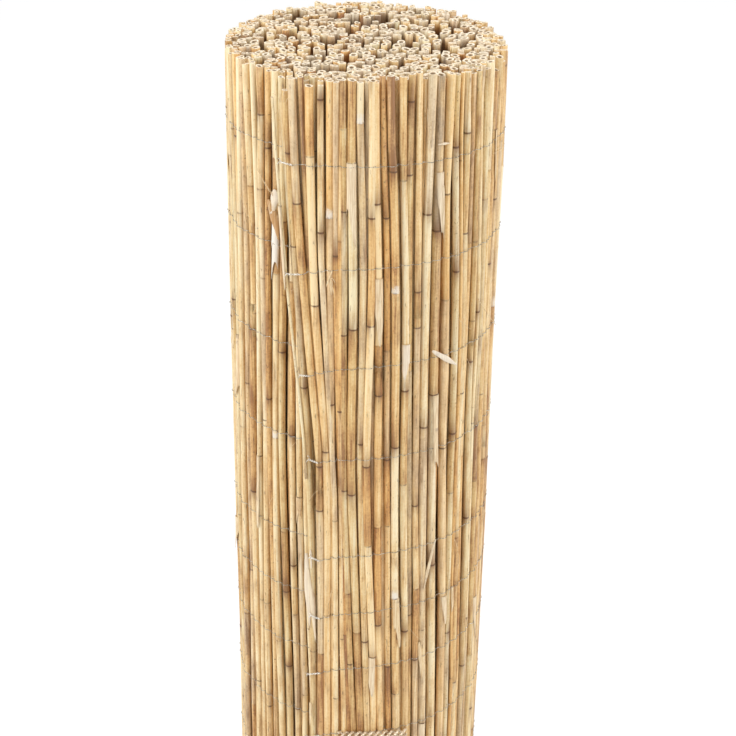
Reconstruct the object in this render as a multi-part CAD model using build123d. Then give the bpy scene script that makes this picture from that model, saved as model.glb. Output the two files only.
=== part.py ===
from build123d import *
import math
import os
from random import Random

# A reed fence, rolled up and standing on end.
# The mat is a long row of upright reeds, held side by side by rows of thin wire, and rolled into a spiral.
# Millimetres. The origin is at the centre of the roll on the floor, +Z runs up the reeds, and -Y is the front.
# The turns are one solid wall: each reed is a ridge on it, and what is between two reeds is a groove.

# Driving dimensions of the mat
fence_height = 1000.0
mat_length = 5000.0  # laid flat, from the free edge to the core
mat_thickness = 8.8  # from the back of the mat to the crests of the reeds
reed_largest = 9.6  # diameters
reed_smallest = 7.4
reed_gap = 1.5  # space from one reed to the next along the wire
groove_depth = 3.4  # from the crests down to the bottom of a groove

# Driving dimensions of the roll
core_radius = 10.0
turn_slack = 3.7  # free space between the mat's back and the turn inside it
free_edge_angle = 248.0  # degrees from +X: where the outer end of the mat lies, at the front on the left

# Reed ends: some are sawn shorter than the rest, and the outer turn shows it most
shortest_end = 4.0  # how far below the others such an end lies
longest_end = 19.0
outer_share = 0.34  # share of the reeds that are shorter
inner_share = 0.07

# Binding wire, in rows across the reeds
wire_thickness = 0.8
wire_clearance = 0.15  # between the wire and the crests that carry it
wire_sides = 24  # straight runs in one turn of the wire
top_rows = (78.0, 178.0, 281.0, 384.0, 497.0, 567.0, 638.0, 726.0)  # depth of each row below the top
lowest_row = 94.0  # height of the last row above the floor
lower_row_spacing = 88.0  # about how far apart the rows between those are
twist_length = 13.0  # the two ends of a row are twisted together past the free edge
twist_thickness = 1.7

# Shape of a ridge
ridge_half_angle = 30.0  # how far round a reed its arc runs on each side of the crest
facet_half_angle = 27.0  # inside the roll a reed has a flat crest, this wide on each side
reeds_per_back_flat = 2

# Worked out from the above
turn_pitch = mat_thickness + turn_slack
outer_line = math.sqrt(core_radius**2 + mat_length * turn_pitch / math.pi)  # middle of the wall at the free edge
full_turn = 2 * math.pi
start = math.radians(free_edge_angle)
dice = Random(11)


def spiral_radius(swept):
    """Radius of the middle of the wall, after turning inwards from the free edge by the angle swept."""
    return outer_line - turn_pitch * swept / full_turn


def polar(radius, swept):
    """The point of the plan at a radius, and at the angle swept from the free edge."""
    return Vector(radius * math.cos(start + swept), radius * math.sin(start + swept))


def lay_reeds():
    """The angle swept to each reed and its diameter, from the free edge to the core."""
    reeds = []
    swept = 0.0
    previous = None
    while spiral_radius(swept) > core_radius:
        diameter = dice.uniform(reed_smallest, reed_largest)
        if previous:
            swept += ((previous + diameter) / 2 + reed_gap) / spiral_radius(swept)
        reeds.append((swept, diameter))
        previous = diameter
    return reeds


def groove_angles(reeds):
    """The angle swept to each groove: one before the first reed, one between neighbours, one after the last."""
    first = reeds[0][0] - reed_pitch(reeds[0]) / 2
    between = [(a + b) / 2 for (a, _), (b, _) in zip(reeds, reeds[1:])]
    last = reeds[-1][0] + reed_pitch(reeds[-1]) / 2
    return [first, *between, last]


def reed_pitch(reed):
    """The angle that one reed and its gap take up."""
    swept, diameter = reed
    return (diameter + reed_gap) / spiral_radius(swept)


def beside_crest(reed, degrees):
    """The point on a reed's round face, some degrees away from its crest."""
    swept, diameter = reed
    crest = spiral_radius(swept) + mat_thickness / 2
    middle = polar(crest - diameter / 2, swept)
    turned = start + swept + math.radians(degrees)
    return middle + Vector(math.cos(turned), math.sin(turned)) * (diameter / 2)


def groove_point(swept):
    return polar(spiral_radius(swept) + mat_thickness / 2 - groove_depth, swept)


def back_point(swept):
    return polar(spiral_radius(swept) - mat_thickness / 2, swept)


def mat_outline(reeds, grooves):
    """The closed outline of the wall: ridges on its outer face, flats on its back."""
    edges = []
    for reed, before, after in zip(reeds, grooves, grooves[1:]):
        if reed[0] < full_turn:
            left = beside_crest(reed, -ridge_half_angle)
            right = beside_crest(reed, ridge_half_angle)
            ridge = ThreePointArc(left, beside_crest(reed, 0), right)
        else:
            left = beside_crest(reed, -facet_half_angle)
            right = beside_crest(reed, facet_half_angle)
            ridge = Line(left, right)
        edges += [Line(groove_point(before), left), ridge, Line(right, groove_point(after))]
    back = grooves[:-1:reeds_per_back_flat] + [grooves[-1]]
    inner_face = [groove_point(grooves[-1]), *[back_point(swept) for swept in reversed(back)]]
    edges += Polyline(*inner_face, groove_point(grooves[0])).edges()
    return Wire(edges)


def end_cut(reed, before, after, depth):
    """The block that is sawn off the top of one reed, from groove to groove."""
    inside = spiral_radius(reed[0]) - mat_thickness / 2 - turn_slack / 3
    outside = spiral_radius(reed[0]) + mat_thickness / 2 + turn_slack / 3
    corners = [polar(inside, before), polar(outside, before), polar(outside, after), polar(inside, after)]
    block = extrude(make_face(Polyline(*corners, close=True)), longest_end)
    return Pos(0, 0, fence_height - depth) * block


def reed_mat(reeds, grooves):
    """The rolled mat, with the reeds' uneven ends."""
    wall = extrude(make_face(mat_outline(reeds, grooves)), fence_height)
    cuts = []
    for reed, before, after in zip(reeds, grooves, grooves[1:]):
        share = outer_share if reed[0] < full_turn else inner_share
        depth = dice.uniform(shortest_end, longest_end)
        if dice.random() < share:
            cuts.append(end_cut(reed, before, after, depth))
    return wall - cuts


def wire_row(depth):
    """One row of binding wire round the outer turn, with the twist of its two ends past the free edge."""
    step = full_turn / wire_sides
    inner, outer = [], []
    for side in range(wire_sides + 1):
        swept = side * step
        carried = spiral_radius(swept) + mat_thickness / 2 + wire_clearance
        corner = carried / math.cos(step / 2)  # the middle of each run lies on the crests
        inner.append(polar(corner, swept))
        outer.append(polar(corner + wire_thickness, swept))
    ring = extrude(make_face(Polyline(*inner, *reversed(outer), close=True)), wire_thickness / 2, both=True)
    away = (inner[0] - inner[1]).normalized()
    outwards = (outer[0] - inner[0]).normalized() * twist_thickness
    tip = inner[0] + away * twist_length
    twist = make_face(Polyline(inner[0], tip, tip + outwards, inner[0] + outwards, close=True))
    return Pos(0, 0, fence_height - depth) * (ring + extrude(twist, twist_thickness / 2, both=True))


def row_depths():
    """The depth of every wire row: those of the upper part, then even ones down to the lowest."""
    last = fence_height - lowest_row
    upper = [depth for depth in top_rows if depth < last]
    count = max(1, round((last - upper[-1]) / lower_row_spacing))
    step = (last - upper[-1]) / count
    return upper + [upper[-1] + step * number for number in range(1, count + 1)]


os.makedirs("parts", exist_ok=True)
all_reeds = lay_reeds()
pieces = {"reed_mat": reed_mat(all_reeds, groove_angles(all_reeds))}
for number, depth in enumerate(row_depths(), start=1):
    pieces[f"binding_wire_{number:02d}"] = wire_row(depth)
middle = Compound(list(pieces.values())).bounding_box().center()
for name, piece in pieces.items():
    export_step(Pos(-middle.X, -middle.Y, 0) * piece, f"parts/{name}.step")
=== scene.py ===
from bisect import bisect
import math
from random import Random

import bmesh
import bpy
from mathutils import Euler, Matrix, Vector, kdtree


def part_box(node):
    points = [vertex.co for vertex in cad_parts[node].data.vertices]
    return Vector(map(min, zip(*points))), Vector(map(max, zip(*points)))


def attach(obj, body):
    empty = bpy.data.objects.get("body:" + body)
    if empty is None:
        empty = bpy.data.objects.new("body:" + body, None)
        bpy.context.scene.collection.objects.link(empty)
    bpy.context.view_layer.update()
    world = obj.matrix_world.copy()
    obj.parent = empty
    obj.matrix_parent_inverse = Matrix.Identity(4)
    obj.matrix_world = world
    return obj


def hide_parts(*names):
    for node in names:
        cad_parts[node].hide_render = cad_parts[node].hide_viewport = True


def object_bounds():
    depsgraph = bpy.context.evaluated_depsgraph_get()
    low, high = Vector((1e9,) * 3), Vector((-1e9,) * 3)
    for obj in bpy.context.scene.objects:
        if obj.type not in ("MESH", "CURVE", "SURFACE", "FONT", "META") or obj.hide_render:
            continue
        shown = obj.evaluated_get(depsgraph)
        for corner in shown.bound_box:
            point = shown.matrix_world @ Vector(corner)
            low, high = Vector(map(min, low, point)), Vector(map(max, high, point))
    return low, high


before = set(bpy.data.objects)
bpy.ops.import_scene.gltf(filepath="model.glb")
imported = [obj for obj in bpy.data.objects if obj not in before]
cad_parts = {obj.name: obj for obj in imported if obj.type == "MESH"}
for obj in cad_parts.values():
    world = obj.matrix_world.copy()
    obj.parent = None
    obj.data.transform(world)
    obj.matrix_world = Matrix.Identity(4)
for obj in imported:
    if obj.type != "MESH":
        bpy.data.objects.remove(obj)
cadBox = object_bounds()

# A reed fence, rolled up and standing on end. Metres, +Z up, the front faces -Y.
# A bearing is an angle round the roll in degrees: 0 at the front, growing to the right.

roll = {
    "height": cadBox[1].z,
    "foot": 0.0004,  # how high the reeds' lower ends are
    "centre": Vector((-0.0032, 0.0031, 0)),
    "outerLine": 0.1414,  # middle of the mat at the free edge
    "turnPitch": 0.0125,
    "matThickness": 0.0088,
    "freeEdge": -22.0,  # bearing of the mat's outer end
    "core": 0.006,  # radius at which the spiral of reeds ends
}
# the camera: its place, and its slopes in degrees
lens = {"place": (0.0061, -1.5517, 1.4043), "down": 25.99, "roll": 0.76, "focal": 78.8}
dice = Random(5)


def lineRadius(laid):
    # middle of the mat, so many degrees along the spiral from its free edge
    return roll["outerLine"] - roll["turnPitch"] * laid / 360


def onSpiral(laid, outwards=0.0, height=0.0):
    angle = math.radians(laid + roll["freeEdge"] - 90)
    radius = lineRadius(laid) + outwards
    return roll["centre"] + Vector((radius * math.cos(angle), radius * math.sin(angle), height))


def outwardAt(point):
    out = point - roll["centre"]
    return Vector((out.x, out.y, 0)).normalized()


def rightOf(out):
    # level, and square to a direction out of the roll
    return Vector((-out.y, out.x, 0))


class Shade:
    # a shader socket that can stand in sums
    def __init__(self, bench, out):
        self.bench = bench
        self.out = out

    def reckon(self, operation, first, second):
        return self.bench.add("ShaderNodeMath", {"operation": operation}, {0: first, 1: second})

    def __add__(self, other):
        return self.reckon("ADD", self, other)

    def __radd__(self, other):
        return self.reckon("ADD", other, self)

    def __sub__(self, other):
        return self.reckon("SUBTRACT", self, other)

    def __rsub__(self, other):
        return self.reckon("SUBTRACT", other, self)

    def __mul__(self, other):
        return self.reckon("MULTIPLY", self, other)

    def __rmul__(self, other):
        return self.reckon("MULTIPLY", other, self)

    def __pow__(self, other):
        return self.reckon("POWER", self, other)

    def larger(self, other):
        return self.reckon("MAXIMUM", self, other)


class Bench:
    # the nodes of one material, or of the world
    seenBy = ("Camera", "Glossy", "Transmission")

    def __init__(self, owner, output="ShaderNodeOutputMaterial"):
        owner.use_nodes = True
        self.owner = owner
        self.tree = owner.node_tree
        self.tree.nodes.clear()
        self.output = self.tree.nodes.new(output)

    def add(self, kind, settings=None, inputs=None, output=0):
        node = self.tree.nodes.new(kind)
        for name, value in (settings or {}).items():
            if name == "stops":
                ramp = node.color_ramp
                while len(ramp.elements) < len(value):
                    ramp.elements.new(1.0)
                for number, colour in enumerate(value):
                    ramp.elements[number].position = number / (len(value) - 1)
                    ramp.elements[number].color = colour
            else:
                setattr(node, name, value)
        for key, value in (inputs or {}).items():
            if isinstance(value, Shade):
                self.tree.links.new(value.out, node.inputs[key])
            else:
                node.inputs[key].default_value = value
        return Shade(self, node.outputs[output])

    def mixColour(self, factor, first, second, blend="MIX"):
        return self.add(
            "ShaderNodeMix",
            {"data_type": "RGBA", "blend_type": blend, "clamp_factor": True},
            {0: factor, 6: first, 7: second},
            2,
        )

    def between(self, value, low, high, smooth=True):
        # 0 below low, 1 above high
        settings = {"interpolation_type": "SMOOTHSTEP" if smooth else "LINEAR", "clamp": True}
        return self.add("ShaderNodeMapRange", settings, {0: value, 1: low, 2: high})

    def ranged(self, noise, least, most):
        # a noise, most of which lies between 0.3 and 0.7, brought to another range
        return self.add("ShaderNodeMapRange", {}, {0: noise, 1: 0.3, 2: 0.7, 3: least, 4: most})

    def split(self, colour):
        # its three channels
        parts = self.add("ShaderNodeSeparateColor", {}, {0: colour}).out.node
        return [Shade(self, parts.outputs[i]) for i in range(3)]

    def attribute(self, name, output=0):
        return self.add("ShaderNodeAttribute", {"attribute_name": name}, {}, output)

    def objectPlace(self):
        return self.add("ShaderNodeTexCoord", {}, {}, 3)

    def noise(self, place, scale, detail, roughness, along=1.0):
        # along is how dense it is along a reed, where across it is 1
        drawn = self.add("ShaderNodeVectorMath", {"operation": "MULTIPLY"}, {0: place, 1: (1.0, 1.0, along)})
        return self.add(
            "ShaderNodeTexNoise",
            {"noise_dimensions": "3D"},
            {"Vector": drawn, "Scale": scale, "Detail": detail, "Roughness": roughness},
        )

    def seen(self):
        # 1 for what the camera sees straight, in a mirror or through glass
        rays = self.add("ShaderNodeLightPath").out.node.outputs
        camera, glossy, passed = [Shade(self, rays[f"Is {name} Ray"]) for name in self.seenBy]
        return camera.larger(glossy).larger(passed)

    def finish(self, shader):
        self.tree.links.new(shader.out, self.output.inputs["Surface"])
        return self.owner


def paint(*channels):
    # a colour as seen on a screen, 0 to 255, in linear light
    linear = [((c / 255 + 0.055) / 1.055) ** 2.4 if c > 10 else c / 255 / 12.92 for c in channels]
    return (*linear, 1.0)


reedSkin = {
    "tones": [
        paint(247, 229, 188),
        paint(239, 211, 158),
        paint(228, 190, 129),
        paint(204, 158, 101),
        paint(158, 109, 65),
    ],
    "greyTones": [
        paint(236, 219, 194),
        paint(205, 183, 152),
        paint(144, 119, 93),
    ],
    # noises: how dense along the reed, scale, detail, roughness, and how much each shifts the tone
    "noises": {
        "fibres": (0.025, 640.0, 3.0, 0.65, 1.3),
        "bands": (0.025, 240.0, 2.0, 0.5, 0.8),
        "flecks": (0.16, 520.0, 2.0, 0.6, 0.0),
        "patches": (0.16, 130.0, 2.0, 0.6, 0.6),
        "clouds": (1.0, 26.0, 3.0, 0.6, 0.8),
        "specks": (1.0, 430.0, 2.0, 0.6, 0.5),
    },
    "shift": (7.0, 13.0, 5.0),  # how far apart the patterns of two reeds can be
    "unevenness": 0.5,  # from one reed to the next
    "greyAll": 0.35,  # how grey a grey reed is outside its grey patches
    # what is laid over the skin, in this order: its colour, its strength and, if not a mix, how it blends
    "layers": {
        "warmCast": (paint(255, 236, 206), 0.6, "MULTIPLY"),
        "coolCast": (paint(242, 245, 243), 0.8, "MULTIPLY"),
        "smears": (paint(150, 112, 78), 0.5),
        "spots": (paint(104, 76, 50), 0.7),
        "flecks": (paint(104, 76, 50), 0.6),
        "nodeStain": (paint(134, 92, 56), 0.8),
        "nodeWax": (paint(238, 231, 218), 0.9),
        "nodeLine": (paint(92, 64, 42), 0.75),
    },
    "rimPale": paint(248, 237, 216),
    "rimTan": paint(228, 209, 180),
    # the bore's inner wall: partly its own colour, partly painted shade inside the hole
    "bore": paint(172, 146, 114),
    "roughness": (0.34, 0.56),
    "rimRougher": 0.3,
}


def makeReedSkin():
    bench = Bench(bpy.data.materials.new("dryReed"))
    skin = bench.attribute("skin")
    luck = Shade(bench, skin.out.node.outputs["Alpha"])
    tone, grey, shade = bench.split(skin)
    joint = bench.attribute("joint")
    stain = Shade(bench, joint.out.node.outputs["Alpha"])
    above, below, wax = bench.split(joint)
    rim, bore, specked = bench.split(bench.attribute("cut"))

    shift = bench.add("ShaderNodeCombineXYZ", {}, {i: luck * reedSkin["shift"][i] for i in range(3)})
    moved = bench.add("ShaderNodeVectorMath", {"operation": "ADD"}, {0: bench.objectPlace(), 1: shift})
    tone = tone + (shade - 0.5) * reedSkin["unevenness"]
    noises = []
    for along, scale, detail, roughness, weight in reedSkin["noises"].values():
        noises.append(bench.noise(moved, scale, detail, roughness, along))
        tone = tone + (noises[-1] - 0.5) * weight
    fibres, bands, flecks, patches, clouds, specks = noises

    colour = bench.add("ShaderNodeValToRGB", {"stops": reedSkin["tones"]}, {0: tone})
    weathered = bench.add("ShaderNodeValToRGB", {"stops": reedSkin["greyTones"]}, {0: tone})
    greyed = grey * bench.between(patches + clouds, 0.7, 1.2) + grey * reedSkin["greyAll"]
    colour = bench.mixColour(greyed, colour, weathered)
    waxRing = bench.between(above + (patches + specks - 1.0) * 0.5, 0.6, 0.85) * wax
    line = bench.between(above.larger(below), 0.955, 0.985) * bench.between(bands + stain * 0.5, 0.5, 1.0)
    where = {
        "warmCast": bench.between(luck, 0.55, 0.95),
        "coolCast": 1 - bench.between(luck, 0.1, 0.45),
        "smears": bench.between(patches, 0.56, 0.72) * bench.between(clouds, 0.35, 0.65),
        "spots": bench.between(specks, 0.64, 0.72) * bench.between(clouds + specked, 0.5, 0.75),
        "flecks": bench.between(flecks, 0.64, 0.74),
        "nodeStain": (above ** 1.6 + below ** 2.5) * stain * bench.between(bands + patches, 0.7, 1.1),
        "nodeWax": waxRing * bench.between(flecks, 0.2, 0.55),
        "nodeLine": line,
    }
    for name, (laidOn, strength, *blend) in reedSkin["layers"].items():
        colour = bench.mixColour(where[name] * strength, colour, laidOn, *blend)
    cutFace = bench.mixColour(bench.between(specks, 0.4, 0.6), reedSkin["rimPale"], reedSkin["rimTan"])
    colour = bench.mixColour(rim, colour, cutFace)
    # the bore's inner wall is darker than the cut face: partly its own colour, partly painted shade inside
    # the hole
    colour = bench.mixColour(bore, colour, reedSkin["bore"])
    relief = {"Height": fibres + line * 0.8 + patches * 0.6, "Strength": 0.5, "Distance": 0.0004}
    bump = bench.add("ShaderNodeBump", {}, relief)
    gloss = bench.ranged(fibres, *reedSkin["roughness"]) + rim * reedSkin["rimRougher"]
    inputs = {"Base Color": colour, "Roughness": gloss, "Normal": bump, "IOR": 1.45}
    return bench.finish(bench.add("ShaderNodeBsdfPrincipled", {}, inputs))


wireFinishes = {
    "galvanisedWire": {"zinc": paint(206, 200, 188), "dull": paint(122, 112, 97), "metal": 0.8},
    # the twisted ends' copy of the same galvanised wire, painted paler: painted light on the ends
    "brightWire": {"zinc": paint(248, 246, 240), "dull": paint(196, 188, 174), "metal": 0.6},
    # the spare bundle's copy of the same wire, painted paler and warmer: painted light
    "spareWire": {"zinc": paint(238, 224, 200), "dull": paint(186, 158, 122), "metal": 0.3},
}


def makeWireFinish(name):
    bench = Bench(bpy.data.materials.new(name))
    finish = wireFinishes[name]
    bloom = bench.noise(bench.objectPlace(), scale=700.0, detail=2.0, roughness=0.5)
    colour = bench.mixColour(bench.between(bloom, 0.42, 0.6), finish["zinc"], finish["dull"])
    rough = bench.ranged(bloom, 0.25, 0.5)
    inputs = {"Base Color": colour, "Roughness": rough, "Metallic": finish["metal"]}
    return bench.finish(bench.add("ShaderNodeBsdfPrincipled", {}, inputs))


sheathFinish = {
    "pale": paint(238, 217, 178),
    "straw": paint(211, 178, 130),
    "stain": paint(142, 108, 74),
    "bloom": paint(240, 232, 219),
    "brown": paint(182, 132, 76),
}


def makeSheathFinish():
    bench = Bench(bpy.data.materials.new("drySheath"))
    place = bench.objectPlace()
    veins = bench.noise(place, scale=1100.0, detail=2.0, roughness=0.5, along=0.05)
    clouds = bench.noise(place, scale=60.0, detail=3.0, roughness=0.6)
    tint = bench.attribute("tint", 2)
    where = {
        "straw": bench.between(veins, 0.35, 0.65),
        "stain": bench.between(clouds, 0.58, 0.72) * 0.6,
        "bloom": bench.between(tint, 0.0, 1.0, False) * bench.between(clouds + veins * 0.3, 0.3, 0.6),
        "brown": bench.between(tint * -1.0, 0.0, 1.0, False) * bench.between(veins, 0.1, 0.6),
    }
    colour = sheathFinish["pale"]
    for name, factor in where.items():
        colour = bench.mixColour(factor, colour, sheathFinish[name])
    bump = bench.add("ShaderNodeBump", {}, {"Height": veins, "Strength": 0.4, "Distance": 0.0003})
    inputs = {"Base Color": colour, "Roughness": bench.ranged(clouds, 0.5, 0.7), "Normal": bump}
    return bench.finish(bench.add("ShaderNodeBsdfPrincipled", {}, inputs))


dryReed = makeReedSkin()
galvanised, brightWire, paintedLitSpareWire = (makeWireFinish(name) for name in wireFinishes)
drySheath = makeSheathFinish()
print("materials made")


def addObject(name, data):
    made = bpy.data.objects.new(name, data)
    bpy.context.scene.collection.objects.link(made)
    return made


def meshPiece(name, bm, material):
    mesh = bpy.data.meshes.new(name)
    bm.to_mesh(mesh)
    bm.free()
    mesh.materials.append(material)
    piece = addObject(name, mesh)
    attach(piece, "root")
    return piece


stalk = {
    "boreDepth": 0.006,
    "boreTaper": (0.94, 0.9),  # inside the lip and at the bottom
    "bevel": 0.00025,
    "lip": 0.0006,
    "jointReach": 0.028,  # how far a node's stain reaches along the reed
    "jointLip": 0.0016,
    "jointRoom": (1.2, 0.35),  # least distance of a node from the foot and from the top, in reaches
    "swells": (1.02, 1.09, 1.05),  # beside a node, at it, and at a node of a plainer reed
    "longStretch": 0.03,  # a longer stretch of reed has one more ring
    "endRoom": 0.002,  # from a node's stain to the top
}


def ringOn(bm, edges, oldCentre, newCentre, factor, marks):
    # the next ring of a reed: extruded, moved and widened
    made = bmesh.ops.extrude_edge_only(bm, edges=edges)["geom"]
    verts = [v for v in made if isinstance(v, bmesh.types.BMVert)]
    fresh = set(verts)
    for v in verts:
        v.co = newCentre + (v.co - oldCentre) * factor
        mark(v, bm, marks)
    edges = [e for e in made if isinstance(e, bmesh.types.BMEdge)]
    return [e for e in edges if e.verts[0] in fresh and e.verts[1] in fresh], verts


def mark(v, bm, marks):
    for name, value in marks.items():
        v[bm.verts.layers.float_color[name]] = value


def stations(spec):
    # heights along a reed with its thickness and marks there, from the foot up
    foot, top = spec["foot"], spec["top"]
    reach, lip = stalk["jointReach"], stalk["jointLip"]
    footRoom, topRoom = stalk["jointRoom"]
    lipSwell, swell, plainSwell = stalk["swells"]
    atLip = 1 - lip / reach  # how strong a node's stain is at its lip
    rows = [(foot, 1.0, 0.0, 0.0, 0)]
    for number, node in enumerate(spec["nodes"]):
        height = node[0]
        if not foot + reach * footRoom < height < top - reach * topRoom:
            continue
        width = spec["widths"][number]
        after = spec["widths"][number + 1]
        if height - reach > rows[-1][0] + stalk["longStretch"] and spec["fine"]:
            rows.append(((height - reach + rows[-1][0]) / 2, width, 0.0, 0.0, number))
        rows.append((height - reach, width, 0.0, 0.0, number))
        if spec["fine"]:
            rows.append((height - lip, width * lipSwell, 0.0, atLip, number))
            rows.append((height, (width + after) / 2 * swell, 1.0, 1.0, number))
            rows.append((height + lip, after, atLip, 0.0, number + 1))
            if height + reach < top - stalk["endRoom"]:
                rows.append((height + reach, after, 0.0, 0.0, number + 1))
        else:
            rows.append((height, width * plainSwell, 0.5, 0.5, number + 1))
    last = rows[-1]
    width = spec["widths"][last[4]]
    # an inner reed gets one more ring here: below it the skin is dark with painted shade
    if spec["shaded"]:
        rows.append((top - spec["shaded"], width, 0.0, 0.0, last[4]))
    rows.append((top, width, max(0.0, last[2] - (top - last[0]) / reach), 0.0, last[4]))
    return rows


def growReed(spec, scratch):
    # one closed hollow-ended reed, returned in the scratch mesh
    bm = bmesh.new()
    for name in ("skin", "joint", "cut"):
        bm.verts.layers.float_color.new(name)
    bmesh.ops.create_circle(bm, cap_ends=False, radius=1.0, segments=spec["sides"])
    rows = stations(spec)
    radius = spec["radius"]
    path = spec["path"]
    noNode = (0, 0.0, 0.0)

    def marks(row, cut=0.0, bore=0.0):
        tone, grey = spec["tones"][row[4]]
        tone += growth["footTone"] * (1 - row[0] / roll["height"])
        # painted shade: below its end an inner reed's skin is darker, standing in for the shade between the
        # ends
        if spec["shaded"] and row is not rows[-1]:
            tone += growth["deepTone"]
        nearest = min(spec["nodes"], key=lambda node: abs(node[0] - row[0]), default=noNode)
        return {
            "skin": (tone, grey, spec["shade"], spec["luck"]),
            "joint": (row[2], row[3], nearest[1], nearest[2]),
            "cut": (cut, bore, spec["specked"], 1.0),
        }

    first = rows[0]
    centre = path(first[0])
    squash = Matrix.Rotation(spec["turn"], 3, "Z") @ Matrix.Diagonal((1.0, spec["oval"], 1.0))
    width = radius * first[1]
    for v in bm.verts:
        v.co = centre + squash @ v.co * width
        mark(v, bm, marks(first))
    footEdges = list(bm.edges)
    edges = footEdges
    for row in rows[1:]:
        new = path(row[0])
        edges, _ = ringOn(bm, edges, centre, new, radius * row[1] / width, marks(row))
        centre, width = new, radius * row[1]
    for ends, row, middle, wide, side in (
        (edges, rows[-1], centre, width, 1.0),
        (footEdges, first, path(first[0]), radius * first[1], -1.0),
    ):
        sawnEnd(bm, ends, middle, wide, side, spec, marks(row, 1.0), marks(row, 0.0, 1.0))
    bmesh.ops.recalc_face_normals(bm, faces=bm.faces)
    for face in bm.faces:
        face.smooth = True
    bm.to_mesh(scratch)
    bm.free()


def sawnEnd(bm, edges, centre, width, side, spec, rimMarks, boreMarks):
    # the cut face, its bore and the bore's end
    up = Vector((0, 0, side))
    tilt = spec["tilt"] if side > 0 else Vector((0, 0, 0))
    face, low = centre + up * stalk["bevel"], centre - up * stalk["lip"]
    bottom = centre - up * stalk["boreDepth"]
    lipTaper, bottomTaper = stalk["boreTaper"]
    for old, new, factor, marks in (
        (centre, face, 1 - stalk["bevel"] / width, rimMarks),
        (face, face, spec["wall"], rimMarks),
        (face, low, lipTaper, boreMarks),
    ):
        edges, verts = ringOn(bm, edges, old, new, factor, marks)
        for v in verts:
            v.co.z = new.z + tilt.dot(v.co - centre)
    edges, verts = ringOn(bm, edges, low, bottom, bottomTaper, boreMarks)
    for v in verts:
        v.co.z = bottom.z
    bmesh.ops.contextual_create(bm, geom=edges)


def bundle(name, specs):
    # many reeds as one piece
    whole = bmesh.new()
    scratch = bpy.data.meshes.new("scratch")
    for spec in specs:
        growReed(spec, scratch)
        whole.from_mesh(scratch)
    piece = meshPiece(name, whole, dryReed)
    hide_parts("reed_mat")
    bpy.data.meshes.remove(scratch)
    print(name, len(specs), "reeds", sum(len(p.vertices) - 2 for p in piece.data.polygons), "triangles")


growth = {
    "firstNode": 0.03,  # least height of the lowest node
    "internode": (0.11, 0.26),
    "waxShare": 0.05,
    "wax": (0.5, 1.0),
    "stainShare": 0.75,
    "stain": (0.3, 1.0),
    "faintStain": 0.1,
    # how dark and how grey each kind of reed skin is
    "kinds": {
        "w": (-0.6, 0.0), "c": (0.04, 0.1), "s": (0.22, 0.15), "y": (0.5, 0.05), "o": (0.6, 0.0),
        "n": (0.7, 0.2), "p": (0.08, 0.9), "h": (0.34, 0.95), "a": (0.36, 0.5), "g": (0.66, 0.75),
    },
    "mix": "ccsssssyyyyoonaaaag",
    "insideMix": "ppppphhhhhccssgo",
    "kink": 0.0007,  # how far a node lies off the reed's line
    "sameKind": 0.6,  # share of the internodes that are of their reed's own kind
    "toneSpread": 0.07,
    "footTone": 0.18,  # how much darker a reed is at its foot
    "deepTone": 1.1,  # painted shade: how much darker an inner reed's skin is below its end, for the shade down between the ends
    "taper": (0.965, 1.005),  # of each internode to the one below
    "shade": (0.25, 0.75),
    "specked": (-0.2, -0.1, 0.0, 0.0, 0.05, 0.25),
    "oval": (0.88, 1.0),
    "wall": (0.5, 0.68),  # the bore's width to the reed's
    "tilt": 0.25,  # slope of a sawn end
}


def kinked(path, nodes):
    # the path with a slight change of direction at each node
    pastTop = roll["height"] + 0.01
    heights = [0.0, *(node[0] for node in nodes), pastTop]
    size = growth["kink"]
    shifts = [Vector((dice.gauss(0, size), dice.gauss(0, size), 0)) for _ in heights]

    def bent(z):
        i = max(0, min(bisect(heights, z), len(heights) - 1) - 1)
        share = (z - heights[i]) / (heights[i + 1] - heights[i])
        return path(z) + shifts[i].lerp(shifts[i + 1], share)

    return bent


def newReed(path, radius, top, fine=True, sides=10, nodes=None, tones=None, mix="mix"):
    # a reed with its nodes, tones and widths, where they aren't given
    if nodes is None:
        nodes = []
        height = roll["foot"] + dice.uniform(growth["firstNode"], growth["internode"][1])
        while height < top:
            wax = dice.uniform(*growth["wax"]) if dice.random() < growth["waxShare"] else 0.0
            stained = dice.random() < growth["stainShare"]
            stain = dice.uniform(*growth["stain"]) if stained else growth["faintStain"]
            nodes.append((height, wax, stain))
            height += dice.uniform(*growth["internode"])
    if tones is None:
        kind = dice.choice(growth[mix])
        tones = []
        for _ in range(len(nodes) + 1):
            tones.append(kind if dice.random() < growth["sameKind"] else dice.choice(growth[mix]))
    for number, kind in enumerate(tones):
        tone, grey = growth["kinds"][kind]
        tones[number] = (tone + dice.uniform(-growth["toneSpread"], growth["toneSpread"]), grey)
    widths = [1.0]
    for _ in nodes:
        widths.append(widths[-1] * dice.uniform(*growth["taper"]))
    tilt = growth["tilt"]
    return {
        "path": kinked(path, nodes),
        "radius": radius,
        "foot": roll["foot"],
        "top": top,
        "nodes": nodes,
        "tones": tones,
        "widths": widths,
        "shade": dice.uniform(*growth["shade"]),
        "luck": dice.random(),
        "shaded": 0.0,
        "specked": dice.choice(growth["specked"]),
        "sides": sides,
        "fine": fine,
        "turn": dice.uniform(0, math.pi),
        "oval": dice.uniform(*growth["oval"]),
        "wall": dice.uniform(*growth["wall"]),
        "tilt": Vector((dice.uniform(-tilt, tilt), dice.uniform(-tilt, tilt), 0)),
    }


frontView = {
    "halfWidth": 0.1388,  # half the width that shows
    "viewer": 1.84,  # how far off the viewer stands
    "depths": (0.03, 0.21, 0.41, 0.725),  # where the places of the reeds are given
    "freeEdge": (-0.64, -0.54, -0.45, -0.43),  # where the mat's free edge is at these depths
}


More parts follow.
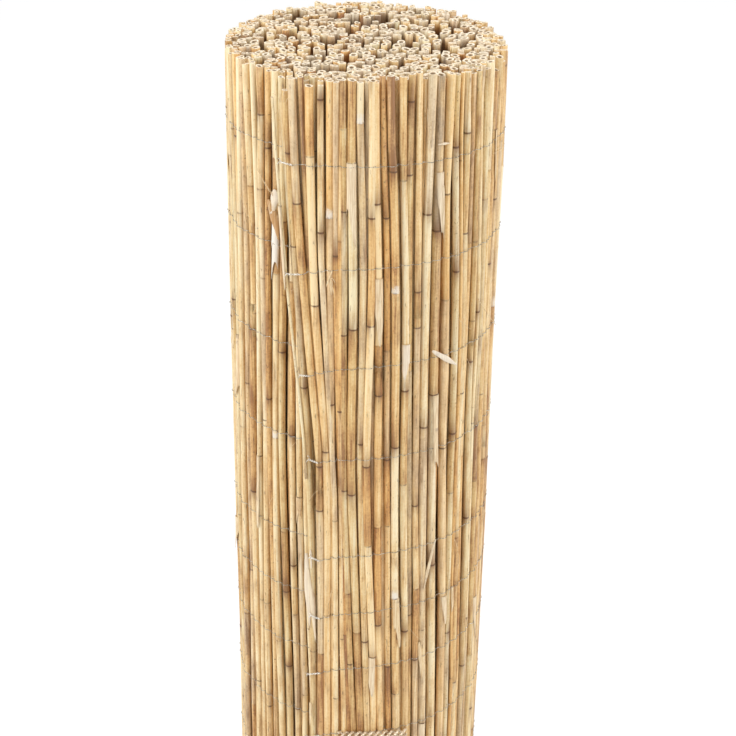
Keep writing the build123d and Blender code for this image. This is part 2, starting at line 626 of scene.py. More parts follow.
def acrossToLaid(across, turns):
    # where a reed lies along the spiral, from how far across the front it shows: -1 and 1 are the sides;
    # turns is how often the spiral has passed the front by then
    viewer, halfWidth = frontView["viewer"], frontView["halfWidth"]
    share = across * halfWidth / math.sqrt(viewer ** 2 - halfWidth ** 2)
    outwards = roll["matThickness"] / 2
    atFront = 360.0 * turns - roll["freeEdge"]
    laid = atFront
    for _ in range(8):
        crest = onSpiral(laid, outwards)
        sine = (share * (viewer + crest.y) - roll["centre"].x) / (lineRadius(laid) + outwards)
        laid = atFront + math.degrees(math.asin(max(-1, min(1, sine))))
    return laid


def eased(levels, values, at):
    # a smooth line through values given at levels
    if at <= levels[0]:
        return values[0]
    if at >= levels[-1]:
        return values[-1]
    i = max(k for k in range(len(levels) - 1) if levels[k] <= at)
    slopes = []
    for k in (i, i + 1):
        before, after = max(k - 1, 0), min(k + 1, len(levels) - 1)
        slopes.append((values[after] - values[before]) / (levels[after] - levels[before]))
    span = levels[i + 1] - levels[i]
    t = (at - levels[i]) / span
    a, b = values[i], values[i + 1]
    rise = t * t * (3 - 2 * t)
    bend = (t ** 3 - 2 * t * t + t) * slopes[0] + (t ** 3 - t * t) * slopes[1]
    return a + (b - a) * rise + span * bend


def matPath(laidAt, radius, lift):
    # a reed of the mat, its crest in line with its neighbours';
    # laidAt gives its place along the spiral by its depth below the top
    def path(z):
        laid = laidAt(roll["height"] - z)
        return onSpiral(laid, roll["matThickness"] / 2 - radius + lift, z)

    return path


# The reeds seen at the front, from left to right. Each has its place across the front at the four depths,
# its diameter and lift in mm, how far its end stands above the others' in mm, the kinds of its internodes
# from the top down, and its joints in mm below the top, where w is a waxy one and d a dark one.
tuckedReeds = [  # left of the free edge, on the turn that slips under it
    ((-0.97, -0.96, -0.97, -0.98), 6.0, 0.0, -2, "scss", "76 296 516 756"),
    ((-0.91, -0.92, -0.93, -0.95), 6.5, 0.0, 0, "ccsa", "156 396 636 876"),
    ((-0.86, -0.84, -0.87, -0.86), 7.5, 0.0, -3, "syyoss", "122 256 274d 466d 712d"),
    ((-0.81, -0.80, -0.81, -0.81), 6.0, -0.5, 1, "cccs", "162 416 596 846"),
    ((-0.76, -0.77, -0.76, -0.78), 8.0, 0.3, 0, "nsaass", "46d 120 212 370d 596"),
    ((-0.70, -0.72, -0.73, -0.72), 7.0, 0.0, -2, "yoysy", "76d 344d 556 796"),
    ((-0.65, -0.66, -0.69, -0.66), 8.0, 0.3, 0, "snsss", "84 202 385w 636"),
    ((-0.60, -0.60, -0.63, -0.59), 7.5, 0.0, -6, "soyoys", "146 284d 494 568d 664d"),
    ((-0.54, -0.53, -0.55, -0.52), 7.5, -0.5, -3, "sosyas", "206 376d 532d 594"),
    ((-0.48, -0.49, -0.49, -0.45), 7.0, 0.0, 0, "ssas", "196 446 696"),
    ((-0.43, -0.44, -0.44, -0.38), 7.0, 0.0, -5, "ayss", "146 346 606"),
    ((-0.37, -0.38, -0.38, -0.31), 7.0, 0.0, 0, "sycs", "246 416 686"),
    ((-0.31, -0.31, -0.31, -0.26), 7.0, 0.0, 0, "yasy", "116 326 556"),
]
frontReeds = [  # from the free edge to the right
    ((-0.65, -0.556, -0.425, -0.40), 3.6, 2.4, -20, "cccs", "123 293 508"),
    ((-0.57, -0.49, -0.41, -0.38), 8.0, 0.5, -12, "yyass", "71d 163d 311d 625"),
    ((-0.52, -0.44, -0.33, -0.32), 8.0, 3.5, 0, "ayyaon", "118d 396d 447d 625"),
    ((-0.46, -0.40, -0.31, -0.27), 6.0, -1.5, 2, "nyss", "183 293 498"),
    ((-0.40, -0.36, -0.27, -0.26), 9.0, 2.5, -5, "ycsss", "71 220d 379d 575"),
    ((-0.32, -0.30, -0.21, -0.19), 6.5, 0.0, -4, "wsass", "17d 145d 459 683"),
    ((-0.25, -0.25, -0.24, -0.20), 8.8, -1.0, 0, "yasss", "130w 326d 547"),
    ((-0.20, -0.20, -0.17, -0.12), 6.5, -0.3, 0, "aosss", "168d 420 605"),
    ((-0.17, -0.165, -0.15, -0.088), 7.0, -1.7, 0, "syaon", "153 333d 493 600"),
    ((-0.15, -0.14, -0.13, -0.034), 7.2, -0.8, 2, "nyaysoy", "43 123d 250d 423d 547 637d"),
    ((-0.10, -0.07, -0.07, 0.02), 9.0, 0.4, 2, "ocosoy", "75 243d 427d 597"),
    ((-0.03, 0.00, 0.00, 0.08), 7.5, 0.0, 0, "caassy", "37w 168 369d 608d"),
    ((0.04, 0.07, 0.06, 0.13), 8.5, 0.6, 2, "cycycs", "129d 239d 394d 488"),
    ((0.08, 0.13, 0.13, 0.20), 8.0, -0.2, 0, "scnsoss", "115d 261 315d 467 588d"),
    ((0.13, 0.19, 0.21, 0.27), 6.5, -1.8, 6, "noaosn", "130d 268 389d 467 644d"),
    ((0.19, 0.26, 0.28, 0.33), 8.8, 0.2, 6, "noycys", "84d 206w 375d 557w"),
    ((0.27, 0.33, 0.35, 0.41), 8.0, 0.4, 5, "ycycs", "94 313d 420 601d"),
    ((0.34, 0.37, 0.40, 0.45), 7.5, -1.6, 6, "ynyay", "19d 89d 293 582d"),
    ((0.40, 0.42, 0.45, 0.49), 7.4, 0.0, 7, "syasyaa", "208d 246d 448d 550 641d"),
    ((0.49, 0.49, 0.50, 0.56), 9.2, 0.3, 5, "asaas", "130d 358d 605"),
    ((0.55, 0.56, 0.58, 0.64), 9.6, -0.9, 2, "gnass", "149d 324d 526d 781"),
    ((0.62, 0.63, 0.66, 0.71), 8.8, 0.2, 2, "syaaas", "114d 223 388d 572"),
    ((0.67, 0.71, 0.72, 0.76), 6.8, -0.2, 0, "oasysa", "69d 196d 376d 446 625d"),
    ((0.74, 0.77, 0.78, 0.82), 7.6, 0.2, 0, "syssy", "58d 160d 334d 507"),
    ((0.79, 0.81, 0.81, 0.85), 6.5, -1.8, -4, "asys", "173 410 673"),
    ((0.82, 0.84, 0.85, 0.88), 7.0, 0.0, -2, "yyyss", "173 258 304d 490d"),
    ((0.87, 0.90, 0.91, 0.94), 7.5, 0.0, -3, "sanys", "133 386d 452 683"),
    ((0.94, 0.95, 0.97, 0.985), 9.0, 0.3, -10, "nyssy", "68 208d 396 438 673"),
]
byHand = {
    "wobble": 0.3,  # how far a reed winds to each side, in degrees
    "waves": 11,
    "wax": 0.9,
    "stains": (0.35, 1.0),  # of a plain joint and of a dark one
    # below the picture joints are added down to this height, so far apart, with this stain and these kinds
    "lowest": 0.25,
    "internode": (0.12, 0.2),
    "footStain": 0.6,
    "footKinds": "ssya",
}


def outerReed(laidAt, radius, lift, top, **given):
    # a reed of the outer turn, which keeps its place along the spiral and its lift in mm
    spec = newReed(matPath(laidAt, radius, lift / 1000), radius, top, **given)
    spec.update(laidAt=laidAt, lift=lift)
    return spec


def laidByHand(rows, turns):
    # the reeds of a list above
    specs = []
    for across, wide, lift, stands, kinds, joints in rows:
        laid = [acrossToLaid(share, turns) for share in across]
        wobble = dice.uniform(-byHand["wobble"], byHand["wobble"])
        phase = dice.uniform(0, 6)

        def laidAt(depth, laid=laid, wobble=wobble, phase=phase):
            wave = wobble * math.sin(depth * byHand["waves"] + phase)
            return eased(frontView["depths"], laid, depth) + wave

        nodes = []
        for joint in reversed(joints.split()):
            wax = byHand["wax"] if joint.endswith("w") else 0.0
            stain = byHand["stains"][joint.endswith("d")]
            nodes.append((roll["height"] - float(joint.rstrip("wd")) / 1000, wax, stain))
        while nodes[0][0] > byHand["lowest"]:
            nodes.insert(0, (nodes[0][0] - dice.uniform(*byHand["internode"]), 0.0, byHand["footStain"]))
        tones = list(reversed(kinds))
        while len(tones) < len(nodes) + 1:
            tones.insert(0, dice.choice(byHand["footKinds"]))
        tones = tones[-(len(nodes) + 1):]
        top = roll["height"] + stands / 1000
        specs.append(outerReed(laidAt, wide / 2000, lift, top, nodes=nodes, tones=tones))
    return specs


outerTurn = {
    "pitch": 0.0083,
    "pitchSpread": (0.85, 1.15),
    "thin": 0.0029,
    "thick": 0.0047,
    "drop": 0.010,
    "lifts": (-1.2, 0.6),
    "lean": 1.0,  # degrees round the roll for each metre down
    "pivot": 0.3,  # depth at which a leaning reed is in its place
    "bend": 0.5,
    "waves": 9,
    "join": 3,  # degrees between the listed reeds and those laid by chance
    "sliver": 0.412,  # length of the broken reed beside the free edge
}
secondTurn = {"thin": 0.0031, "thick": 0.0038, "drop": 0.004, "apart": 0.0066, "nearest": 0.6}
closing = {
    "middle": 0.35,  # depth at which reeds are put in order
    "depths": (0.05, 0.2, 0.35, 0.5, 0.7),  # where the gap between two is measured
    "most": 0.14,  # how much thicker a reed may get
    "share": 0.48,  # of a gap, that one of its reeds may fill
    "slack": 0.0002,
    "wide": 0.0032,  # a gap that takes one more reed
    "overfill": 0.0003,
    "thickest": 0.0046,
    "lift": -0.6,
}
crownRise = {"middle": 0.003, "back": 0.007, "front": -0.3}


def crown(spot):
    # the ends stand a little higher towards the back
    towardsBack = max(crownRise["front"], min(1.0, spot.y / roll["outerLine"]))
    return crownRise["middle"] + crownRise["back"] * towardsBack


def crownedTop(path):
    return roll["height"] + crown(path(roll["height"]))


def dropped(most):
    # how much lower one end is than the others
    return abs(dice.gauss(0, 0.5)) * most


def laidByChance(first, last, turn):
    # reeds from one place along the spiral to another
    specs = []
    laid = first
    while laid < last:
        radius = dice.uniform(turn["thin"], turn["thick"])
        lift = dice.uniform(*turn["lifts"])
        lean = dice.gauss(0, turn["lean"])
        bend = dice.uniform(-turn["bend"], turn["bend"])
        phase = dice.uniform(0, 6)

        def laidAt(depth, laid=laid, lean=lean, bend=bend, phase=phase):
            return laid + lean * (depth - turn["pivot"]) + bend * math.sin(depth * turn["waves"] + phase)

        top = crownedTop(matPath(laidAt, radius, lift / 1000)) - dropped(turn["drop"])
        specs.append(outerReed(laidAt, radius, lift, top))
        laid += math.degrees(turn["pitch"] * dice.uniform(*turn["pitchSpread"]) / lineRadius(laid))
    return specs


def gapBetween(left, right):
    # the narrowest gap along two neighbours of one turn
    gaps = []
    for depth in closing["depths"]:
        laid = left["laidAt"](depth)
        apart = math.radians(right["laidAt"](depth) - laid) * lineRadius(laid)
        gaps.append(apart - left["radius"] - right["radius"])
    return min(gaps)


def middlePlace(spec):
    return spec["laidAt"](closing["middle"])


def closeUp(specs):
    # thickens the reeds of a turn where there is room on both sides
    specs.sort(key=middlePlace)
    gaps = [gapBetween(left, right) for left, right in zip(specs, specs[1:])]
    for spec, before, after in zip(specs[1:], gaps, gaps[1:]):
        room = min(before, after) * closing["share"]
        spec["radius"] += max(0.0, min(room, spec["radius"] * closing["most"]))


def layOuterTurn():
    # the reeds of the outer turn, from the free edge round to where it slips under itself
    shown = laidByHand(frontReeds, 0)
    tucked = laidByHand(tuckedReeds, 1)
    first = shown[-1]["laidAt"](outerTurn["pivot"]) + outerTurn["join"]
    last = tucked[0]["laidAt"](outerTurn["pivot"]) - outerTurn["join"]
    shown[0]["foot"] = roll["height"] - outerTurn["sliver"]
    specs = shown + laidByChance(first, last, outerTurn) + tucked
    closeUp(specs)
    return sorted(specs + fillGaps(specs), key=middlePlace)


def fillGaps(specs):
    # one more reed in each wide gap of the outer turn
    added = []
    for left, right in zip(specs, specs[1:]):
        gap = gapBetween(left, right)
        if gap < closing["wide"]:
            continue
        radius = min(gap / 2 + closing["overfill"], closing["thickest"])

        def laidAt(depth, left=left, right=right):
            return (left["laidAt"](depth) + right["laidAt"](depth)) / 2

        top = crownedTop(matPath(laidAt, radius, closing["lift"] / 1000))
        added.append(outerReed(laidAt, radius, closing["lift"], top))
    print("gaps filled", len(added))
    return added


def nestedPath(left, right, radius):
    # the line of a reed that lies behind two of the outer turn and touches both
    def path(z):
        a, b = left["path"](z), right["path"](z)
        reach = (left["radius"] + right["radius"]) / 2 + radius + closing["slack"]
        half = (b - a).length / 2
        back = math.sqrt(max(reach * reach - half * half, (reach * secondTurn["nearest"]) ** 2))
        return (a + b) / 2 - outwardAt(a) * back

    return path


def laySecondTurn(outer):
    # the reeds of the next turn, nested in the grooves of the outer one
    specs = []
    spent = -math.inf
    for left, right in zip(outer, outer[1:]):
        laid = (middlePlace(left) + middlePlace(right)) / 2
        radius = dice.uniform(secondTurn["thin"], secondTurn["thick"])
        if math.radians(laid - spent) * lineRadius(laid) < secondTurn["apart"]:
            continue
        spent = laid
        path = nestedPath(left, right, radius)
        top = crownedTop(path) - dropped(secondTurn["drop"])
        specs.append(newReed(path, radius, top, fine=False, sides=8))
    return specs


inside = {
    "start": 370.0,  # where the first of these reeds lies along the spiral
    "spacing": 0.0083,
    "spacingSpread": (0.85, 1.2),
    "leastRadius": 0.01,  # nearer the core the steps along the spiral grow no wider
    "thin": 0.0034,
    "thick": 0.0051,
    "wave": 0.003,  # how far the turns wave in and out
    "waves": 3.1,
    "scatter": 0.002,
    "lean": 0.0012,
    "uneven": 0.0012,
    "dipShare": 0.1,  # share of the ends that lie deeper
    "dips": (0.004, 0.022),
    "shaded": 0.012,  # length over which painted shade darkens a reed below its end
    # reeds are eased apart so many times, by this share of their overlap, where they are near enough
    "rounds": 30,
    "ease": 0.25,
    "near": 0.011,
    "apart": 0.0002,
    # places where the ends lie low, as places on the plan with how far they reach and how low
    "hollows": [
        (Vector((0.036, 0.012, 0)), 0.012, 0.035),
        (Vector((-0.01, 0.078, 0)), 0.008, 0.03),
        (Vector((-0.034, 0.004, 0)), 0.010, 0.035),
        (Vector((-0.015, -0.058, 0)), 0.008, 0.02),
        (Vector((0.07, -0.012, 0)), 0.008, 0.025),
    ],
}


def hollowAt(spot):
    # how far the ends lie lower here
    return sum(low for place, reach, low in inside["hollows"] if (place - spot).length < reach)


def layInside(around):
    # the turns inside, to the core, pushed apart where they would overlap each other or those around
    stems = []
    laid = inside["start"]
    while lineRadius(laid) > roll["core"]:
        wave = inside["wave"] * math.sin(math.radians(laid * inside["waves"]))
        place = onSpiral(laid, wave + dice.gauss(0, inside["scatter"]))
        stems.append([place, dice.uniform(inside["thin"], inside["thick"]), False])
        spacing = inside["spacing"] * dice.uniform(*inside["spacingSpread"])
        laid += math.degrees(spacing / max(lineRadius(laid), inside["leastRadius"]))
    for spec in around:
        spot = spec["path"](roll["height"])
        stems.append([Vector((spot.x, spot.y, 0)), spec["radius"], True])
    spread(stems)
    specs = []
    for spot, radius, fixed in stems:
        if fixed:
            continue
        lean = Vector((dice.gauss(0, inside["lean"]), dice.gauss(0, inside["lean"]), 0))
        dip = abs(dice.gauss(0, inside["uneven"]))
        if dice.random() < inside["dipShare"]:
            dip += dice.uniform(*inside["dips"])
        top = roll["height"] + crown(spot) - dip - hollowAt(spot)

        def path(z, spot=spot, lean=lean):
            return spot + lean * (z / roll["height"]) + Vector((0, 0, z))

        spec = newReed(path, radius, top, fine=False, nodes=[], sides=8, mix="insideMix")
        # the inner reeds get painted shade below their ends
        spec["shaded"] = inside["shaded"]
        specs.append(spec)
    return specs


def spread(stems):
    # eases overlapping reeds apart, all but the fixed ones
    for _ in range(inside["rounds"]):
        tree = kdtree.KDTree(len(stems))
        for number, stem in enumerate(stems):
            tree.insert(stem[0], number)
        tree.balance()
        for number, (spot, radius, fixed) in enumerate(stems):
            if fixed:
                continue
            for _, other, gap in tree.find_range(spot, inside["near"]):
                need = radius + stems[other][1] + inside["apart"]
                if other != number and 1e-6 < gap < need:
                    push = (spot - stems[other][0]).normalized() * (need - gap) * inside["ease"]
                    if stems[other][2]:
                        spot += push * 2
                    else:
                        spot += push
                        stems[other][0] -= push


outerSpecs = layOuterTurn()
bundle("outerTurnReeds", outerSpecs)
nestedSpecs = laySecondTurn(outerSpecs)
bundle("secondTurnReeds", nestedSpecs)
bundle("innerTurnReeds", layInside(outerSpecs + nestedSpecs))


binding = {
    "gauge": 0.0003,  # radius of one strand
    "rise": 0.008,  # how much higher the rows run left of the free edge
    "riseFrom": 280,  # degrees along the spiral
    # how far each row sags towards the free edge
    "droops": (0.002, 0.010, 0.016, 0.010, 0.015, 0.019, 0.018, 0.011, 0.010, 0.012),
    "fade": 14.0,
    "sunk": -1.5,  # a reed that lies deeper, in mm, isn't held
    "unbound": 2,  # how many reeds beside the free edge the rows don't hold
    "slack": 1.04,  # of a strand round a reed
    "wrap": 62,  # degrees that a strand runs round each side of a reed
    "points": (-1, -0.4, 0, 0.4, 1),  # where a strand has its points between those sides
    "cross": 0.0004,
    "twistOff": 0.0006,  # how far a twist stands off the first strand
    "twistTilt": (-0.45, 0.25),
    "twistDip": 0.1,  # how far a twist leans in towards the roll
    "twistLength": 0.014,
    "twistSpread": (0.8, 1.2),
    "twistFlare": (0.001, 0.003),
    "twistTurns": 2.5,
    "twistReach": 0.0006,
    "twistGauge": 0.0004,
}


def rowHeight(number, middle, laid):
    droops = binding["droops"]
    droop = droops[(number - 1) % len(droops)] * math.exp(-max(laid, 0) / binding["fade"])
    rise = binding["rise"] if laid > binding["riseFrom"] else 0
    return middle - droop + rise


def strandPiece(name, gauge, material, strands):
    # round strands as one piece; each is its points and how thick it is to the gauge
    curve = bpy.data.curves.new(name, "CURVE")
    curve.dimensions = "3D"
    curve.bevel_depth = gauge
    curve.bevel_resolution = 1
    curve.use_fill_caps = True
    for points, thick in strands:
        spline = curve.splines.new("POLY")
        spline.points.add(len(points) - 1)
        for point, place in zip(spline.points, points):
            point.co = (*place, 1.0)
            point.radius = thick
    curve.materials.append(material)
    piece = addObject(name, curve)
    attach(piece, "root")
    return piece


def helix(start, finish, reach, turns, phase, flare=0.0):
    # a strand wound round the line from start to finish, flaring out near its end
    along = finish - start
    side = along.cross(outwardAt(start)).normalized()
    out = side.cross(along).normalized()
    points = []
    count = max(12, round(turns * 10))
    flareFrom = 0.75
    for step in range(count + 1):
        t = step / count
        angle = phase + t * turns * 2 * math.pi
        wide = reach + flare * max(0.0, t - flareFrom) / (1 - flareFrom)
        points.append(start + along * t + (side * math.cos(angle) + out * math.sin(angle)) * wide)
    return points


def bindRow(number, middle):
    # a row's two strands: one passes in front of the reeds, the other behind, and they cross between reeds
    depth = roll["height"] - middle
    held = [spec for spec in outerSpecs if spec["lift"] > binding["sunk"]]
    held.sort(key=lambda spec: spec["laidAt"](depth))
    inFront, behind = [], []
    sign = 1
    for spec in held[binding["unbound"]:]:
        spot = spec["path"](rowHeight(number, middle, spec["laidAt"](depth)))
        out = outwardAt(spot)
        side = rightOf(out)
        hold = spec["radius"] * binding["slack"] + binding["gauge"]
        for share in binding["points"]:
            angle = math.radians(share * binding["wrap"])
            cross = Vector((0, 0, sign * binding["cross"] * share))
            inFront.append(spot + (out * math.cos(angle) + side * math.sin(angle)) * hold + cross)
            if share in (-1, 0, 1):
                behind.append(spot + (side * math.sin(angle) - out * math.cos(angle)) * hold - cross)
        sign = -sign
    start = inFront[2]  # on the crest of the first reed that is held
    out = outwardAt(start)
    start = start + out * binding["twistOff"]
    away = Vector((0, 0, dice.uniform(*binding["twistTilt"]))) - rightOf(out) - out * binding["twistDip"]
    finish = start + away * binding["twistLength"] * dice.uniform(*binding["twistSpread"])
    strands = [(inFront, 1.0), (behind, 1.0)]
    piece = strandPiece(f"wireRow{number:02d}", binding["gauge"], galvanised, strands)
    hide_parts(f"binding_wire_{number:02d}")
    ends = []
    for phase in (0, math.pi):
        flare = dice.uniform(*binding["twistFlare"])
        ends.append((helix(start, finish, binding["twistReach"], binding["twistTurns"], phase, flare), 1.0))
    return ends


wireNodes = sorted(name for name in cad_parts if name.startswith("binding_wire"))
twistedEnds = []
for number, node in enumerate(wireNodes, start=1):
    low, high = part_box(node)
    twistedEnds += bindRow(number, (low.z + high.z) / 2)
# the twisted ends take the paler copy of the wire finish, painted light
strandPiece("wireEnds", binding["twistGauge"], brightWire, twistedEnds)
print("wire rows", len(wireNodes))


def onFront(across, depth, outwards):
    # a place on the turn that shows, so far out from the crests,
    # and as high in the view as that depth at the front
    edge = eased(frontView["depths"], frontView["freeEdge"], depth)
    laid = acrossToLaid(across, 0 if across > edge else 1)
    farther = roll["outerLine"] * (1 - math.cos(math.radians(laid + roll["freeEdge"])))
    height = roll["height"] - depth - farther * math.tan(math.radians(lens["down"]))
    return onSpiral(laid, roll["matThickness"] / 2 + outwards, height)


# A bundle of spare wire, twisted up: its ends are places across the front with their depths.
spareWire = {
    "from": (-0.16, 0.7285),
    "to": (0.41, 0.727),
    "outwards": 0.0028,
    "parts": 8,
    "strands": 2,
    "turns": 5.2,
    "reach": 0.0026,
    "uneven": (0.8, 1.15),
    "gauge": 0.0015,
}


def coilSpareWire():
    strands = []
    parts = spareWire["parts"]
    turns = spareWire["turns"] / parts
    for number in range(spareWire["strands"]):
        points = []
        for part in range(parts):
            ends = []
            for share in (part / parts, (part + 1) / parts):
                across, depth = (a + (b - a) * share for a, b in zip(spareWire["from"], spareWire["to"]))
                ends.append(onFront(across, depth, spareWire["outwards"]))
            phase = 2 * math.pi * (number / spareWire["strands"] + part * turns)
            points += helix(*ends, spareWire["reach"] * dice.uniform(*spareWire["uneven"]), turns, phase)[:-1]
        strands.append((points, 1.0))
    # the bundle takes the paler, warmer copy of the wire finish: painted light
    strandPiece("spareWireTwist", spareWire["gauge"], paintedLitSpareWire, strands)


coilSpareWire()

# Loose bits at the front: pieces of leaf sheath and a chip, each from one end to the other as places across
# the front, depths and mm out from the crests, with its width in mm, how far its sides curl back, how ragged
# it is and its tint: below 0 is browner, above 0 is bloomed white.
flakes = [
    ((0.53, 0.264, 0.5), (0.69, 0.277, 6.0), 7.5, 0.3, 0.1, 0.6),
    ((-0.635, 0.100, 2.0), (-0.66, 0.124, 3.2), 13.0, 0.6, 0.2, 0.6),
    ((-0.68, 0.109, 3.8), (-0.615, 0.151, 1.8), 13.5, 0.6, 0.1, -0.9),
    ((-0.43, 0.497, 1.2), (-0.405, 0.585, 1.2), 12.0, 1.0, 0.3, 0.45),
    ((-0.415, 0.515, 1.6), (-0.355, 0.605, 1.4), 8.0, 1.0, 0.2, 0.3),
    ((-0.395, 0.492, 1.0), (-0.385, 0.515, 2.0), 3.5, 0.8, 0.1, 0.6),
    ((0.605, 0.482, 0.6), (0.525, 0.542, 1.0), 5.0, 0.8, 0.2, 0.2),
    ((0.575, 0.092, 0.2), (0.585, 0.142, 0.8), 5.0, 1.0, 0.4, 0.2),
    ((0.525, 0.053, 0.2), (0.615, 0.050, 0.4), 3.0, 0.4, 0.1, 0.4),
    ((0.50, 0.610, 0.4), (0.535, 0.66, 0.4), 6.0, 0.8, 0.5, 0.0),
    ((-0.245, 0.186, 0.8), (-0.225, 0.203, 3.0), 4.0, 1.0, 0.5, 0.0),
    ((-0.225, 0.180, 0.5), (-0.265, 0.196, 3.5), 2.0, 0.6, 0.3, 0.0),
]
# Sheaths that still hold to their reed: the reed's place across and turn, the sheath's ends in m below the
# top, which way it faces and how far it wraps in radians, how torn its end is and its tint.
wrapped = [
    (-0.655, 1, 0.147, 0.176, 0.0, 3.1, 0.25, 1.8),
    (-0.655, 1, 0.166, 0.209, -0.1, 3.0, 0.5, 0.9),
    (0.57, 0, 0.090, 0.152, 0.3, 2.4, 0.5, 0.3),
    (0.15, 0, 0.19, 0.262, 0.0, 2.6, 0.5, 0.1),
    (0.33, 0, 0.262, 0.30, -0.2, 2.4, 0.5, 0.5),
]
# Loose fibres at the front, by the same places.
fibres = [
    ((-0.765, 0.077, 1), (-0.71, 0.090, 4), (-0.645, 0.104, 3)),
    ((-0.765, 0.078, 1), (-0.705, 0.092, 4), (-0.645, 0.106, 3)),
    ((-0.89, 0.098, 1), (-0.84, 0.115, 4), (-0.81, 0.135, 1)),
    ((0.86, 0.205, 0), (0.90, 0.222, 5), (0.95, 0.232, 8)),
    ((-0.59, 0.014, 1), (-0.60, 0.006, 3), (-0.63, 0.004, 4)),
    ((-0.57, 0.014, 1), (-0.56, 0.004, 4), (-0.54, 0.001, 5)),
    ((-0.55, 0.016, 1), (-0.54, 0.009, 4), (-0.51, 0.010, 6)),
    ((-0.24, 0.19, 1), (-0.22, 0.184, 4), (-0.20, 0.192, 3)),
    ((-0.23, 0.19, 1), (-0.21, 0.20, 4), (-0.205, 0.208, 2)),
    ((0.44, 0.02, 0), (0.452, 0.05, 1), (0.465, 0.068, 2)),
    ((0.93, 0.048, 1), (0.97, 0.043, 1), (1.0, 0.034, 1)),
    ((0.92, 0.052, 1), (0.96, 0.048, 1), (0.99, 0.041, 1)),
    ((0.76, 0.485, 0), (0.78, 0.50, 5), (0.785, 0.52, 2)),
    ((-0.43, 0.385, 1), (-0.42, 0.40, 4), (-0.43, 0.41, 2)),
]
loose = {
    "thickness": 0.00018,
    "fibreGauge": 0.00026,
    "sheaths": 44,
    "sheathLength": (0.02, 0.09),
    "tints": (0.0, 0.0, 0.1, 0.2, -0.4),
    "facing": 0.8,  # radians to each side of straight out
    "span": (1.6, 3.6),
    "standOff": (0, 0.0016),
    "wrappedOff": 0.0006,
    "torn": (0.1, 0.6),
    "sunk": -1.0,  # a reed that lies deeper, in mm, has no sheath
    "fibres": 60,
    "fibreLength": (0.008, 0.03),
}


def makeLeaf(bm, shape, tint):
    # a thin leaf: a grid, each point of which is placed by shape from its two shares, -1 to 1 and 0 to 1
    made = bmesh.ops.create_grid(bm, x_segments=6, y_segments=9, size=0.5)
    for v in made["verts"]:
        v.co = shape(v.co.x * 2, v.co.y + 0.5)
        v[bm.verts.layers.float["tint"]] = tint


def flakeShape(start, finish, width, curl, ragged):
    out = outwardAt(start)
    along = finish - start
    side = along.normalized().cross(out).normalized()
    out = side.cross(along).normalized()
    phase = dice.uniform(0, 6)

    def shape(u, t):
        # widest in the middle, with wavy sides and a ragged end
        wavy = 0.85 + 0.15 * math.sin(t * 9 + phase)
        wide = width * (0.3 + 0.7 * math.sin(math.pi * t ** 0.8)) * wavy / 2
        reach = t + ragged * 0.25 * t * math.sin(u * 5 + phase)
        return start + along * reach + side * wide * math.sin(u * (1 + curl / 2)) - out * wide * curl * u * u

    return shape


def sheathShape(spec, top, length, facing, span, standOff, torn):
    phase = dice.uniform(0, 6)

    def shape(u, t):
        # wrapped round its reed, narrower and farther off it towards the torn end
        drop = length * t * (1 - torn * (0.5 + 0.5 * math.sin(u * 2.6 + phase)))
        spot = spec["path"](top - drop)
        out = outwardAt(spot)
        angle = facing + span / 2 * u * (1 - 0.3 * t)
        reach = spec["radius"] * 1.06 + 0.0002 + standOff * t * t
        return spot + (out * math.cos(angle) + rightOf(out) * math.sin(angle)) * reach

    return shape


def frontPlaces(places):
    return [onFront(across, depth, out / 1000) for across, depth, out in places]


def layLooseBits():
    bm = bmesh.new()
    bm.verts.layers.float.new("tint")
    for start, finish, width, curl, ragged, tint in flakes:
        makeLeaf(bm, flakeShape(*frontPlaces((start, finish)), width / 1000, curl, ragged), tint)
    for across, turns, top, bottom, facing, span, torn, tint in wrapped:
        laid = acrossToLaid(across, turns)
        spec = min(outerSpecs, key=lambda reed: abs(reed["laidAt"](top) - laid))
        z = roll["height"] - top
        makeLeaf(bm, sheathShape(spec, z, bottom - top, facing, span, loose["wrappedOff"], torn), tint)
    raised = [spec for spec in outerSpecs if spec["lift"] > loose["sunk"]]
    for _ in range(loose["sheaths"]):
        spec = dice.choice(raised)
        top = dice.choice([node[0] for node in spec["nodes"][1:]])
        length = dice.uniform(*loose["sheathLength"])
        facing, span = dice.uniform(-loose["facing"], loose["facing"]), dice.uniform(*loose["span"])
        standOff, torn = dice.uniform(*loose["standOff"]), dice.uniform(*loose["torn"])
        shape = sheathShape(spec, top, length, facing, span, standOff, torn)
        makeLeaf(bm, shape, dice.choice(loose["tints"]))
    for face in bm.faces:
        face.smooth = True
    piece = meshPiece("sheathScraps", bm, drySheath)
    piece.modifiers.new("thickness", "SOLIDIFY").thickness = loose["thickness"]


def bow(a, b, c):
    # points along a bow from a to c, drawn towards b
    return [a.lerp(b, t / 5).lerp(b.lerp(c, t / 5), t / 5) for t in range(6)]


def layFibres():
    strands = [(bow(*frontPlaces(places)), 1.0) for places in fibres]
    for _ in range(loose["fibres"]):
        spec = dice.choice(outerSpecs)
        spot = spec["path"](dice.uniform(0.05, 0.97))
        out = outwardAt(spot)
        a = spot + out * spec["radius"]
        length = dice.uniform(*loose["fibreLength"])
        side = rightOf(out) * dice.gauss(0, 0.35)
        way = side + Vector((0, 0, dice.choice((-1, 1)) * dice.uniform(0.5, 1)))
        b = a + way * length * 0.6 + out * 0.003
        c = a + way * length + out * dice.uniform(0.0, 0.006) + side * length * 0.4
        strands.append((bow(a, b, c), dice.uniform(0.5, 1)))
    strandPiece("looseFibres", loose["fibreGauge"], drySheath, strands)


layLooseBits()
layFibres()
print("loose bits laid")


floorFinish = {"size": 30, "matt": (0.86, 0.86, 0.86, 1.0), "glow": 1.12, "glowShare": 0.8}
white = (1.0, 1.0, 1.0, 1.0)


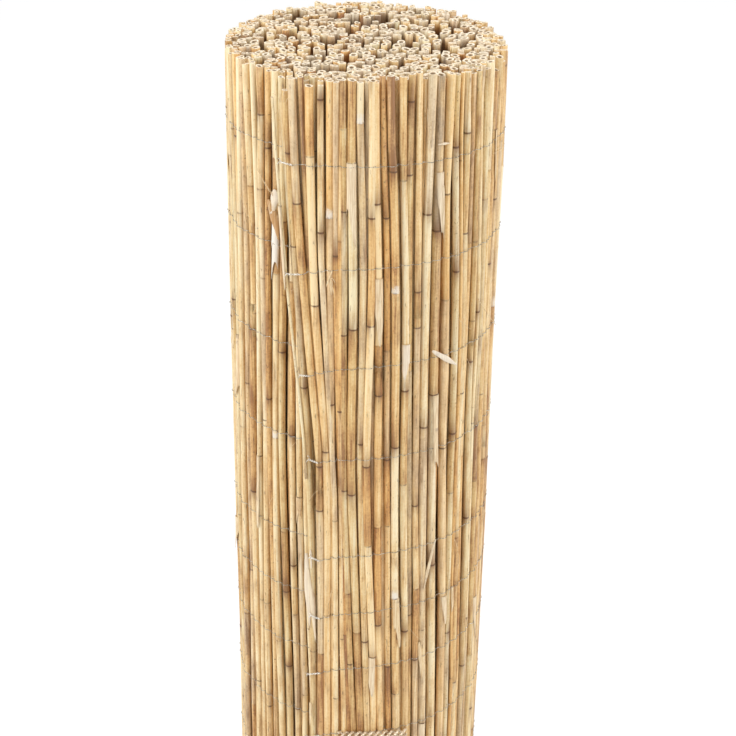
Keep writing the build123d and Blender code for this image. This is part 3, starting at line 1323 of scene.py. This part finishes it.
def makeFloor():
    bpy.ops.mesh.primitive_plane_add(size=floorFinish["size"])
    floor = bpy.context.object
    floor.name = "floor"
    bench = Bench(bpy.data.materials.new("paleFloor"))
    factor = bench.seen() * floorFinish["glowShare"]
    matt = bench.add("ShaderNodeBsdfDiffuse", {}, {"Color": floorFinish["matt"]})
    glow = bench.add("ShaderNodeEmission", {}, {"Color": white, "Strength": floorFinish["glow"]})
    both = bench.add("ShaderNodeMixShader", {}, {0: factor, 1: matt, 2: glow})
    floor.data.materials.append(bench.finish(both))


studio = {
    "key": {"place": (-2.6, -1.4, 2.0), "size": 1.6, "power": 60},
    "fill": {"place": (2.6, -1.0, 1.4), "size": 2.0, "power": 39.5},
    "top": {"place": (0.2, 0.3, 3.2), "size": 1.4, "power": 25},
    "aim": Vector((0, 0, 0.6)),
    "sky": 0.55,
}


def lightStudio():
    for name in ("key", "fill", "top"):
        lamp = bpy.data.lights.new(name, "AREA")
        lamp.size = studio[name]["size"]
        lamp.energy = studio[name]["power"]
        piece = addObject(name, lamp)
        piece.location = studio[name]["place"]
        aim = studio["aim"] - Vector(studio[name]["place"])
        piece.rotation_euler = aim.to_track_quat("-Z", "Y").to_euler()
    world = bpy.data.worlds.new("studio")
    bpy.context.scene.world = world
    bench = Bench(world, "ShaderNodeOutputWorld")
    # white where it is seen, and weaker as a light
    strength = bench.add("ShaderNodeMapRange", {}, {0: bench.seen(), 3: studio["sky"], 4: 1.0})
    bench.finish(bench.add("ShaderNodeBackground", {}, {"Color": white, "Strength": strength}))


def setCamera():
    camera = addObject("camera", bpy.data.cameras.new("camera"))
    camera.data.lens = lens["focal"]
    camera.location = lens["place"]
    pitch = Euler((math.radians(90 - lens["down"]), 0, 0)).to_matrix()
    camera.rotation_euler = (pitch @ Matrix.Rotation(math.radians(lens["roll"]), 3, "Z")).to_euler()
    bpy.context.scene.camera = camera


makeFloor()
lightStudio()
setCamera()
bpy.context.scene.view_settings.view_transform = "Standard"
print("stage set")
